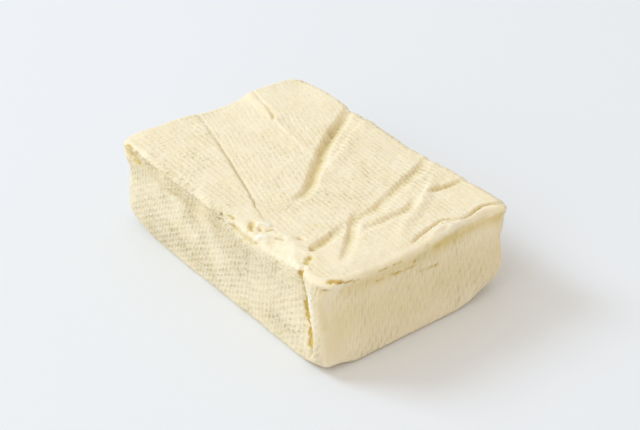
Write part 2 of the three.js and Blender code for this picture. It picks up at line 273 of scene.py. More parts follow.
# The end wall draws in beside the split, by amounts spread evenly from the underside to the top.
CORNER_DRAWS = (0, 0.4, 0.8, 1.2, 1.6, 2, 2, 0)
CORNER_DRAW_REACH = (5, 14)

# Rounding of the underside's edge at each corner, and how far along the walls it reaches.
FOOT_CORNERS = {(-1, -1): (6.5, 16), (1, -1): (6.4, 12), (1, 1): (9, 19), (-1, 1): (5, 16)}

MARKS = (
    # under the fold at the far left corner
    Mark("corner slit",
         ((-47.2, -34.1, 29.3), (-45, -34.3, 29), (-42.6, -34.2, 29.1), (-40.4, -34.1, 29.2)),
         (0.9, 1.7, 1.1, 1.5, 0.4), 0.7, 1.1, stain_and_shade=1, pale=-0.7),
    Mark("corner pit", ((-48.2, -34.1, 29), (-47.4, -34.3, 28.2)),
         (0.6, 0.5), 0.9, 0.9, stain_and_shade=0.9, pale=-0.4),
    # painted shade in the pocket beneath the corner's lip, over a shallow sink
    Mark("corner pocket shade", ((-48.6, -34.2, 27.6), (-45, -34.5, 27), (-41, -34.4, 27)),
         (0.6, 0.9, 0.4), 1.6, 3, stain_and_shade=0.4, pale=-0.3),
    Mark("pocket end shade", ((-43.4, -34.6, 24.9), (-40, -34.5, 25.4)), (0.2, 0.3), 1, 1.2, stain_and_shade=0.45),
    Mark("fold edge",
         ((-47.5, -34.6, 28.6), (-38, -33.9, 28.9), (-27, -34.2, 28.4), (-15, -34.3, 28), (0, -34, 28.2)),
         (0.5, 0.5, 0.5, 0.4, 0.3, 0.2), 0.5, 3.4, stain_and_shade=0.25),
    Mark("fold shade", ((-44, -34.5, 25.4), (-27, -34.4, 24.4), (-12, -34.4, 24), (2, -34.4, 24.6)),
         (0.2, 0.2, 0.2, 0.1), 3.2, 4, stain_and_shade=0.26),
    Mark("fold gash", ((-30.5, -34.2, 28.8), (-27, -34.1, 29), (-24, -34, 29.4)),
         (0.2, 0.6, 0.5, 0.2), 0.5, 0.8, stain_and_shade=0.45),
    Mark("wall gash", ((-24.6, -34.1, 23.3), (-22.8, -34.1, 23.1), (-21.4, -34.1, 23.4)),
         (0.8, 0.2, 0.8), 0.6, 0.6, stain_and_shade=0.3),
    Mark("wall bulge line", ((-39.5, -34.3, 14.6), (-34, -34.6, 13.4), (-27.5, -34.6, 12.4)),
         (0.2, 0.45, 0.2), 2.6, 0.7),
    # pits of the front wall near the torn stretch
    Mark("front pit a", ((2.2, -33.9, 29.2), (3.6, -33.9, 28.3)), (0.9, 0.7), 0.7, 0.8, stain_and_shade=0.8),
    Mark("front pit b", ((0.8, -34.1, 26.9), (2.6, -34.1, 27)), (0.6, 0.8), 0.6, 0.6, stain_and_shade=0.5),
    Mark("front pit c", ((3.4, -34, 27.6), (5, -34, 26.9)), (0.8, 0.5), 0.5, 0.6, stain_and_shade=0.5),
    Mark("front pit d", ((7.4, -34, 28.1), (8.4, -34, 27.8)), (1, 0.8), 0.7, 0.7, stain_and_shade=0.7),
    Mark("front pit e", ((5.2, -32.9, 29.9), (7.2, -32.6, 30)), (0.7, 1), 0.6, 0.8, stain_and_shade=1),
    Mark("front pit f", ((-4.9, -34.2, 27.7), (-4, -34.2, 27.5)), (0.8, 0.6), 0.5, 0.6, stain_and_shade=0.3),
    Mark("front pit g", ((-14.2, -34.2, 21.8), (-13.4, -34.2, 21.4)), (0.5, 0.5), 0.6, 0.6, stain_and_shade=0.1),
    Mark("front pit h", ((-11.6, -34.3, 20.6), (-10.8, -34.4, 19.8)), (0.5, 0.5), 0.6, 0.6, stain_and_shade=0.1),
    Mark("front stain", ((9, -33.9, 28), (14, -33.8, 27.2), (17.5, -33.9, 27.8)),
         (0.4, 0.3), 1.5, 1.8, stain_and_shade=0.5),
    Mark("front pit i", ((12.2, -34, 25), (12.8, -34, 24.8)), (0.6, 0.6), 0.5, 0.5, stain_and_shade=0.7),
    Mark("front pit j", ((18.6, -33.9, 28), (19.8, -33.8, 28)), (0.8, 0.6), 0.6, 0.6, stain_and_shade=1),
    # torn stretch
    Mark("torn pit a", ((12.4, -30.2, 29.7), (14, -31, 29.5), (15.2, -31.8, 29.4)),
         (0.6, 1, 0.8), 1.5, 1.5, stain_and_shade=0.95),
    Mark("torn pit b", ((16, -30.1, 29.5), (17, -30.4, 29.3)),
         (1.4, 1.3), 0.8, 0.85, stain_and_shade=0.8, pale=-0.5),
    Mark("torn pit d", ((18.5, -29, 29.4), (19.5, -27.8, 29.6)),
         (1.6, 1.4), 0.8, 0.9, stain_and_shade=1, pale=-0.6),
    Mark("torn flake a", ((14.9, -29.2, 30), (16.9, -27.4, 30.2)), (-1, -1), 1.1, 1.1, pale=1.6),
    Mark("torn flake b", ((19, -32.2, 29.1), (20.6, -30.7, 29.3)), (-0.8, -0.8), 1.3, 1.3, pale=1.6),
    Mark("torn pit c", ((22.8, -29.2, 29.7), (25.4, -28, 29.7)), (0.8, 0.9, 0.6), 0.5, 0.5, stain_and_shade=0.5),
    Mark("torn ridge",
         ((20.5, -27.6, 30), (24, -26.4, 30.2), (28, -27.4, 30.4), (32, -30, 30), (36.5, -32.3, 29.6)),
         (-0.1, -0.3, -0.5, -0.4, -0.3), 1.6, 2, pale=0.15),
    Mark("torn hole", ((27.6, -24.1, 29.6), (28.8, -24, 29.5)), (1.4, 1.3), 0.9, 0.9, stain_and_shade=0.5),
    Mark("torn slit", ((28.4, -24.2, 29.6), (29.9, -25.1, 29.4), (31.2, -25.6, 29.3)),
         (0.7, 0.5, 0.5), 0.5, 0.7, stain_and_shade=0.5),
    Mark("torn valley", ((30.8, -25.6, 29.4), (32.4, -25, 29.2), (33.7, -24.2, 29)),
         (0.6, 1, 1.1), 1.2, 1.3, stain_and_shade=0.7),
    Mark("yellow pit", ((38.1, -30.3, 29.6), (37.2, -29.1, 29.5), (36.6, -27.8, 29.6)),
         (0.7, 1, 0.8), 1.3, 1.3, stain_and_shade=1.4),
    Mark("torn step", ((24, -31.5, 29.4), (28, -32.4, 29.2), (33, -33.4, 29), (37.5, -33.9, 28.6)),
         (0.2, 0.3, 0.3, 0.1), 0.8, 2.4),
    # gash, painted shade in the recess and in the crack above the split, and painted highlights on the
    # strip's edge and the gash's lip, beneath the flap at the near corner
    Mark("corner gash", ((48.7, -31, 30), (49.5, -29.4, 29.8), (50.2, -27.8, 29.6)),
         (0.4, 0.6, 0.4), 1.2, 1.1, stain_and_shade=1.1, pale=-0.8),
    Mark("gash bottom", ((49.4, -30.4, 29.4), (50, -29, 29.2), (50.8, -27, 28.9), (51.3, -24, 28.6)),
         (0.8, 1.6, 1, 0.4, 0.1), 0.45, 0.5, stain_and_shade=0.8, pale=-0.9),
    # a raised lip with a painted highlight
    Mark("gash lip highlight", ((49.4, -31, 28.8), (50.4, -29, 28.4), (51, -27, 28.2)),
         (-0.2, -0.4, -0.3), 0.5, 0.5, pale=0.6),
    Mark("gash tail", ((51.2, -23.6, 28.4), (51.3, -21.8, 28.2)), (0.4, 0.6, 0.3), 0.4, 0.5, stain_and_shade=0.5),
    Mark("split lid", ((37.7, -32.6, 29.7), (38.5, -32.1, 29.5), (39.1, -31.5, 29.3)),
         (0, 0), 1.3, 1.3, stain_and_shade=-2.4, pale=0.3),
    # painted shade, brown, in the crack above the split
    Mark("upper crack shade", ((38.9, -33.1, 28.7), (39.3, -32.8, 27.8), (40.3, -32.8, 25.4)),
         (0.1, 0.2, 0), 1, 1, pale=-1.7),
    # painted highlight along the lit edge of the strip
    Mark("strip edge highlight", ((44.8, -34.6, 26), (45.2, -34.8, 20), (45.6, -34.9, 13), (46.4, -34.9, 7)),
         (0, 0), 1.7, 1.7, pale=1.2),
    # painted shade in the recess beneath the flap, over a sink
    Mark("corner recess shade", ((47.8, -33.6, 28.4), (49.8, -32.2, 27.9), (51, -30, 27.4)),
         (0.6, 0.8, 0.3), 0.9, 1.8, stain_and_shade=0.25, pale=-0.2),
    Mark("recess pit a", ((49.2, -32.6, 28), (49.9, -31.8, 27.8)),
         (0.8, 0.6), 0.5, 0.6, stain_and_shade=0.7, pale=-0.3),
    Mark("recess pit b", ((47.8, -33.9, 28.6), (48.6, -33.7, 28.5)), (0.6, 0.6), 0.5, 0.6, stain_and_shade=0.7),
    Mark("wall mark a", ((51.5, -33.2, 17.9), (51.5, -32.8, 16.9)), (0.3, 0.3), 0.6, 0.6, stain_and_shade=0.2),
    Mark("wall mark b", ((51.4, -32.4, 15.2), (51.4, -31.7, 13.8)), (0.5, 0.4), 0.6, 0.6, stain_and_shade=0.3),
    # painted shade beneath the flap and over the near wall, a painted sheen on the flap's roll, and rows
    # of small pits beneath the flap
    # painted shade in a band beneath the flap
    Mark("shade under the flap",
         ((51.5, -26, 26.6), (51.4, -14, 26.6), (51.4, 0, 26.8), (51.6, 14, 27.2), (52, 30, 27.4)),
         (0.1, 0.15, 0.1, 0.2, 0.3), 3.2, 5, stain_and_shade=0.4),
    Mark("flap shade", ((51.3, 6, 28.4), (50, 16, 28.4), (49.6, 24, 28.4), (51.2, 30, 28)),
         (0.1, 0.3, 0.3, 0.2), 1.6, 3.4, stain_and_shade=0.4),
    Mark("flap sheen", ((50.2, 6, 30), (48.9, 16, 30), (48.6, 24, 30), (51.2, 31, 30)),
         (0, 0), 1.2, 1.2, pale=0.5),
    # painted shade over the near wall, and more of it near the front corner
    Mark("near wall shade", ((51, -22, 16), (51, 4, 16), (51, 33, 16)), (0, 0), 14, 16, stain_and_shade=0.27),
    Mark("corner shade", ((51, -30, 22), (51, -30, 8)), (0, 0), 7, 7, stain_and_shade=0.17),
    Mark("strip shade", ((48.6, -33.8, 26.4), (49, -33.4, 20), (49.4, -33.2, 16)),
         (0, 0), 2.3, 2.3, stain_and_shade=0.16, pale=-0.24),
    Mark("near row a", ((51.4, -16.4, 24.9), (51.4, -13.6, 24.8)), (0.6, 0.1, 0.3), 0.6, 0.6, stain_and_shade=0.6),
    Mark("near row b", ((51.4, -10.8, 24.8), (51.4, -8.4, 24.6)), (0.7, 0.5, 0.9), 0.6, 0.6, stain_and_shade=1),
    Mark("near row c", ((51.4, -8.2, 24.5), (51.4, -5.8, 24.5), (51.3, -2.4, 24.4)),
         (0.2, 0.4, 0.2, 0.2, 0.7), 0.5, 0.5, stain_and_shade=0.7),
    Mark("near row d", ((51.5, -15.4, 28.2), (51.5, -12.4, 28.2)), (0.1, 0.4, 0.6), 0.5, 0.6, stain_and_shade=0.8),
    Mark("near row e", ((51.5, -10.2, 28.1), (51.5, -7.5, 27.9)), (0.5, 0.1, 0.3), 0.5, 0.5, stain_and_shade=0.6),
    Mark("near dot a", ((51.4, -2.7, 26), (51.4, -2.2, 26.1)), (0.7, 0.7), 0.55, 0.55, stain_and_shade=0.9),
    Mark("near row f", ((51.2, -0.3, 21.6), (51.1, 3, 21), (51, 6.4, 20.9)),
         (0.2, 0.3, 0.5, 0.2, 0.7), 0.5, 0.5, stain_and_shade=0.8),
    Mark("near dot b", ((50.9, 2.4, 29.2), (51, 3, 29.1)), (0.7, 0.5), 0.6, 0.6, stain_and_shade=0.8),
    Mark("near row g", ((51.4, 5.6, 27), (51.5, 8.3, 27.1), (51.6, 11.8, 27.2)),
         (0.2, 0.3, 0.2, 0.4, 0.1), 0.5, 0.6, stain_and_shade=0.5),
    Mark("end tip", ((51.4, 31.2, 29.6), (51.6, 32.4, 29.5)), (-0.4, -0.6), 1, 1.4, pale=0.4),
    Mark("end notch a", ((52, 28.2, 28.4), (52.1, 28.2, 27.6)), (0.7, 0.6), 0.7, 0.8, stain_and_shade=0.9),
    Mark("end notch b", ((52.1, 27.8, 26.6), (52.1, 27.8, 25.4)), (0.7, 0.7), 0.7, 0.8, stain_and_shade=0.9),
)

MARK_WOBBLE = 0.35  # how far the edges of the marks wander
MARK_WOBBLE_SIZE = 1.3

# Low lumps all over the skin: height, size and number of octaves.
LUMPS = ((0.16, 5, 3), (0.08, 1.5, 2))

# --- Pressing cloth: lengths in millimetres, threads counted ---

# Where the cloth was folded, it changes its lay, and its threads fade out beside the fold.
CLOTH_FOLDS = ((*CUT_LINE, (15, -34)), (*TROUGH_LINE, (15, -34)))
FOLD_HALF_WIDTH = 0.1
FOLD_FADE = 0.4

# Threads for each millimetre along X and Y, of the upright and of the level set.
LAY_BEYOND_TROUGH = ((0.594, -0.18), (0.05, 0.62))
LAY_BEFORE_TROUGH = ((0.53, -0.22), (0.188, 0.609))
LAY_BY_FRONT = (0.03, 0.57)

# Upright threads of the front wall: how many there are, closer towards +X, and how they lean.
FRONT_THREADS = 0.63
FRONT_CROWDING = 0.0002
FRONT_LEAN = -0.08
FRONT_MORE_LEAN = -0.14
FRONT_LEAN_X = -8
FRONT_LEAN_REACH = 34
FRONT_MIDDLE = 15

WALL_LEAN = 0.06  # threads that an upright one of another wall shifts by for each row down
END_THREADS = 1.5  # how closely the upright threads of an end wall lie, against those of the top
END_ROWS = 0.4  # how closely its level threads lie, against those of a side wall
OVER_SHARE = 0.4  # how far a thread of the cloth dips where it passes under another
LEVEL_GAIN = 5.4  # how much more strongly the level threads of a side wall show near its top
LEVEL_GAIN_FROM = 16
LEVEL_GAIN_SPAN = 8
CORNER_FADE = 1.6  # the weave fades out towards the upright corners and the underside
FOOT_FADE = 1.5

# Where threads of a wall miss those of the top by more than some, both fade out at the edge.
MISSED_THREADS = 0.9
MISSED_SPAN = 0.4
RIM_WIDTH = 0.3
RIM_FADE = 1.2

# The cloth drifted as it was pressed: by how many threads, and over what size.
CLOTH_DRIFTS = ((0.3, 9), (0.12, 2.5))
WEAVE_MEAN = 0.9  # the weave's strength varies about this, by the spread and over the size
WEAVE_SPREAD = 0.6
WEAVE_SIZE = 7
CREASE_WEAVE = 2  # how much more strongly the cloth shows at the bottom of a crease
SUNK_SHARE = 0.35  # share of the imprint that the mesh has; the material shows it in full

# Where the skin is smoother or more strongly woven: centre, half sizes and change of strength.
WEAVE_CHANGES = (
    ((-20, -34, 30), (32, 4, 2.6), -0.4),
    ((-38, 20, 30), (20, 24, 12), -0.5),
    ((-28, -25, 30), (18, 9, 8), 0.5),
    ((14, 4, 30), (20, 18, 8), 0.6),
    ((26, -30, 30), (17, 8, 5), -1),
    ((44, -12, 30), (7, 20, 8), -0.4),
    ((44, 22, 30), (7, 14, 8), -0.3),
    ((-30, -34, 30), (30, 5, 4), 0.4),
    ((-8, -34, 22), (16, 4, 9), 0.5),
    ((-49, -34, 20), (5, 5, 20), -0.6),
    ((44, -35, 15), (4, 5, 20), -0.9),
    ((51, -31, 15), (8, 8, 20), -0.7),
    ((40, -22, 30), (15, 13, 6), -0.7),
    ((49.6, 16, 30), (3, 20, 5), -0.7),
    ((30, -34, 17), (20, 4, 12), -0.2),
    ((-40, 0, 30), (15, 14, 8), -0.5),
    ((-30, 26, 30), (22, 14, 8), -0.6),
    ((40, 27, 30), (13, 10, 8), -0.6),
    ((-9, -34, 23), (10, 4, 6), -0.35),
    ((50.5, -8, 29.5), (4, 26, 4), -0.8),
    ((0, 36, 14), (75, 7, 24), -0.35),
)

# --- Mesh ---

# Steps along X and Y: from, to and step.
X_SPANS = ((-51, 5, 0.48), (5, 40.2, 0.42), (40.2, 45.6, 0.24), (45.6, 51, 0.42))
Y_SPANS = ((-34, -20, 0.4), (-20, 34, 0.47))
UNDERSIDE_SHARE = 3  # the underside takes every third column and row
UNDERSIDE_INSET = 1.2
TOP_ROUND_STEPS = 8
FOOT_ROUND_STEPS = 7
WALL_STEPS = 60

# --- Settings ---


def metres(name, description, default):
    return FloatProperty(name=name, description=description, default=default, unit="LENGTH")


def watts(name, description, default):
    return FloatProperty(name=name, description=description, default=default, unit="POWER")


def degrees(name, description, turn):
    default = math.radians(turn)
    return FloatProperty(name=name, description=description, default=default, subtype="ANGLE")


def colour(name, description, default):
    return FloatVectorProperty(
        name=name, description=description, default=default, subtype="COLOR", size=3
    )


def strength(name, description, default):
    return FloatProperty(name=name, description=description, default=default)


def strengths(name, description, default):
    return FloatVectorProperty(name=name, description=description, default=default, size=2)


class TofuShape(bpy.types.PropertyGroup):
    """Outer sizes of the block."""

    length: metres("Length", "Length of the plain slab along X", 0.102)
    width: metres("Width", "Width of the plain slab along Y", 0.068)
    height: metres("Height", "Height of the plain slab", 0.03)
    corner_radius: metres("Corner Radius", "Radius of the upright corners", 0.0044)
    split_corner_radius: metres(
        "Split Corner Radius", "Radius of the upright corner beside the split, below its flap", 0.0018
    )
    top_radius: metres("Top Edge Radius", "Rounding of the top's edge", 0.002)
    foot_radius: metres(
        "Foot Edge Radius", "Rounding of the underside's edge, midway along a wall", 0.002
    )


class TofuSkin(bpy.types.PropertyGroup):
    """Imprint of the pressing cloth, and colours."""

    row_pitch: metres("Row Pitch", "Spacing of the level threads on a wall", 0.0012)
    top_weave: strengths("Top Weave", "Strength of both sets of threads", (0.78, 0.95))
    wall_weave: strengths("Wall Weave", "Strength of the upright and the level threads", (2, 0.2))
    top_fibres: strength("Top Fibres", "Strength of loose fibres on the top", 0.4)
    end_share: strength("End Share", "Strength of the weave on the short walls", 0.5)
    wall_fibres: strengths(
        "Wall Fibres", "Strength of loose fibres on the long and on the short walls", (1.7, 0.35)
    )
    weave_depth: metres("Weave Depth", "Depth of the cloth's imprint", 0.00016)
    fibre_share: strength("Fibre Share", "Height of loose fibres, as a share of the weave", 3)
    seed: IntProperty(name="Seed", description="Seed of every random draw", default=7)
    grain_depth: metres("Grain Depth", "Depth of the fine grain", 0.0001)
    curd: colour("Curd", "Main colour of the skin", (0.88, 0.76, 0.52))
    pale_patch: colour("Pale Patch", "Colour of the paler clouds in the skin", (0.9, 0.79, 0.565))
    # The flake colour is also painted as highlight and sheen on lit edges: the strip beside the split, the
    # gash's lip and the flap's roll.
    flake: colour("Flake And Highlight", "Colour of torn flakes", (0.92, 0.86, 0.72))
    # The inner colour is also painted as shade: at the bottoms of creases, in the weave and between
    # fibres, in recesses, beneath overhangs and over the shaded near wall.
    inner: colour("Inner Curd And Shade", "Yellower colour in splits and pits", (0.68, 0.51, 0.145))
    gold: colour("Gold", "Brightest yellow, down in the split", (0.95, 0.74, 0.24))
    # This brown is also painted as shade in pits, in the crack above the split and beside the strip.
    gash_brown_and_shade: colour("Gash Brown And Shade", "Browner colour deep in a gash", (0.62, 0.36, 0.1))


class TofuStage(bpy.types.PropertyGroup):
    """Floor, lights and camera."""

    floor_radius: metres("Floor Radius", "Radius of the round floor", 4.5)
    floor_colour: colour("Floor Colour", "Colour of the floor", (0.8, 0.8, 0.8))
    key_power: watts("Key Power", "Power of the soft key light", 32.5)
    key_size: metres("Key Size", "Width of the soft key light", 1)
    key_colour: colour("Key Colour", "Colour of the key light", (0.63, 0.8, 1))
    key_azimuth: degrees("Key Azimuth", "Turn of the key light round the block, from +X", 214)
    key_elevation: degrees("Key Elevation", "Angle of the key light above the floor", 40)
    fill_power: watts("Fill Power", "Power of the fill light", 13.8)
    fill_size: metres("Fill Size", "Width of the fill light", 2.2)
    fill_colour: colour("Fill Colour", "Colour of the fill light", (0.86, 0.92, 0.97))
    fill_azimuth: degrees("Fill Azimuth", "Turn of the fill light round the block, from +X", -80)
    fill_elevation: degrees("Fill Elevation", "Angle of the fill light above the floor", 35)
    light_distance: metres("Light Distance", "Distance of the lights", 2.5)
    sky: strength("Sky", "Strength of the even light all round", 0.76)
    sky_colour: colour("Sky Colour", "Colour of the even light", (1, 0.96, 0.914))
    camera_azimuth: degrees("Camera Azimuth", "Turn of the camera round the block, from +X", -37.749)
    camera_elevation: degrees("Camera Elevation", "Angle of the camera above the floor", 32.889)
    camera_distance: metres("Camera Distance", "Distance from the camera to its aim", 0.45829)
    camera_aim: FloatVectorProperty(
        name="Camera Aim",
        description="Place the camera looks at",
        default=(0.0023, 0.00222, 0.01429),
        subtype="XYZ",
        size=3,
    )
    lens: FloatProperty(name="Lens", description="Focal length in millimetres", default=85)
    film: FloatProperty(name="Film", description="Film width in millimetres", default=36)


# --- Shared curves and noise ---


def clamp01(t):
    return np.clip(t, 0, 1)


def bell(t):
    """A smooth hump, 1 at zero and 0 from one unit away."""
    return (1 - np.minimum(1, t * t)) ** 2


def smooth(t):
    t = clamp01(t)
    return t * t * (3 - 2 * t)


def along_list(values, share):
    """The value at a share of the way along a list of evenly spaced values."""
    values = np.asarray(values, float)
    place = clamp01(share) * (len(values) - 1)
    index = np.minimum(len(values) - 2, np.floor(place)).astype(int)
    ease = smooth(place - index)
    return values[index] * (1 - ease) + values[index + 1] * ease


def near_place(points, centre, reach):
    """1 at a centre, falling to 0 over half sizes along X, Y and Z."""
    return bell(np.linalg.norm((points - centre) / reach, axis=1))


def spline_points(path, samples=24):
    """Points of a smooth curve through the path's places."""
    path = np.asarray(path, float)
    place = np.linspace(0, len(path) - 1, samples + 1)
    index = np.minimum(len(path) - 2, np.floor(place)).astype(int)
    t = (place - index)[:, None]
    p0, p1 = path[np.maximum(index - 1, 0)], path[index]
    p2, p3 = path[index + 1], path[np.minimum(index + 2, len(path) - 1)]
    start, end = (p2 - p0) / 2, (p3 - p1) / 2
    curve = 2 * p1 - 2 * p2 + start + end
    return curve * t**3 + (3 * p2 - 3 * p1 - 2 * start - end) * t**2 + start * t + p1


class Noise:
    """Smooth seeded noise on a lattice, from -1 to 1."""

    cells = 512
    octave_shift = 17.3

    def __init__(self, seed):
        rng = np.random.default_rng(seed)
        self.order = rng.permutation(self.cells)
        self.values = rng.uniform(-1, 1, self.cells)

    def corner(self, i, j, k):
        row = (self.order[i % self.cells] + j) % self.cells
        return self.values[self.order[(self.order[row] + k) % self.cells]]

    def at(self, points, size):
        """Noise with lumps of about the given size."""
        scaled = points / size
        cell = np.floor(scaled).astype(int)
        f = smooth(scaled - cell)
        total = np.zeros(len(points))
        for corner in range(8):
            di, dj, dk = corner & 1, corner >> 1 & 1, corner >> 2 & 1
            weight = (f[:, 0] if di else 1 - f[:, 0]) * (f[:, 1] if dj else 1 - f[:, 1])
            weight = weight * (f[:, 2] if dk else 1 - f[:, 2])
            total += weight * self.corner(cell[:, 0] + di, cell[:, 1] + dj, cell[:, 2] + dk)
        return total

    def shifts(self, points, size, steps):
        """Independent noises side by side, each read at its own step away."""
        return np.stack([self.at(points + step, size) for step in steps], -1)

    def rough(self, points, size, octaves=3):
        """Noise with finer lumps added at half the size and strength each time."""
        return sum(
            self.at(points + self.octave_shift * n, size / 2**n) / 2**n for n in range(octaves)
        )


# --- Relief of the top ---


def place_on_crease(points, x, y):
    """Distance to a crease, signed and positive on its far side, and share of its length."""
    best = np.full(x.shape, np.inf)
    side = np.ones(x.shape)
    along = np.zeros(x.shape)
    for index in range(len(points) - 1):
        start, step = points[index], points[index + 1] - points[index]
        from_x, from_y = x - start[0], y - start[1]
        share = clamp01((from_x * step[0] + from_y * step[1]) / (step @ step))
        distance = np.hypot(from_x - share * step[0], from_y - share * step[1])
        nearer = distance < best
        best = np.where(nearer, distance, best)
        side = np.where(nearer, np.where(step[0] * from_y - step[1] * from_x >= 0, 1, -1), side)
        along = np.where(nearer, (index + share) / (len(points) - 1), along)
    return best * side, along


def waver(x, y):
    """Shifts places a little sideways, each axis by its own noise."""
    noise = Noise(CREASE_WAVER_SEED)
    points = np.stack([x.ravel(), y.ravel(), 0 * x.ravel()], -1)
    shift_x, shift_y = (
        CREASE_WAVER * noise.rough(points + step, CREASE_WAVER_SIZE).reshape(x.shape)
        for step in (0, 60)
    )
    return x + shift_x, y + shift_y


def crease_height(crease, x, y):
    distance, along = place_on_crease(spline_points(crease.path), *waver(x, y))
    width = np.where(distance > 0, crease.far, crease.near)
    return -along_list(crease.depths, along) * bell(distance / width)


def crease_shade(x, y):
    """Painted shade of the creases at each point of the top: how yellow and darker, or below zero how
    pale.
    """
    stain_and_shade = np.zeros(x.shape)
    for crease in CREASES:
        if crease.stain_and_shade:
            share = np.abs(crease_height(crease, x, y)) / max(map(abs, crease.depths))
            stain_and_shade += crease.stain_and_shade * share**CREASE_SHADE_FALL
    return stain_and_shade.ravel()


def patch_height(patch, x, y):
    centre_x, centre_y, half_x, half_y, rise = patch
    return rise * bell(np.hypot((x - centre_x) / half_x, (y - centre_y) / half_y))


def top_relief(x, y):
    height = np.zeros(x.shape)
    for crease in CREASES:
        height += crease_height(crease, x, y)
    for patch in (*SWELLS, TORN_HOLLOW):
        height += patch_height(patch, x, y)
    return height


def gathered(x, y):
    """Moves places near a sharp crease closer to its line."""
    for crease in CREASES:
        reach = crease.gather
        if not reach:
            continue
        points = spline_points(crease.path)
        distance, along = place_on_crease(points, *waver(x, y))
        share = np.minimum(1, np.abs(distance) / reach)
        pull = np.where(share < 1, reach * (share - share**GATHER_POWER) * np.sign(distance), 0)
        pull = pull * smooth(along * GATHER_ENDS) * smooth((1 - along) * GATHER_ENDS)
        direction = np.gradient(points, axis=0)
        direction /= np.linalg.norm(direction, axis=1)[:, None]
        index = np.clip(np.round(along * (len(points) - 1)).astype(int), 0, len(points) - 1)
        x = x + direction[index, 1] * pull
        y = y - direction[index, 0] * pull
    return x, y


# --- Form of the slab, in millimetres ---


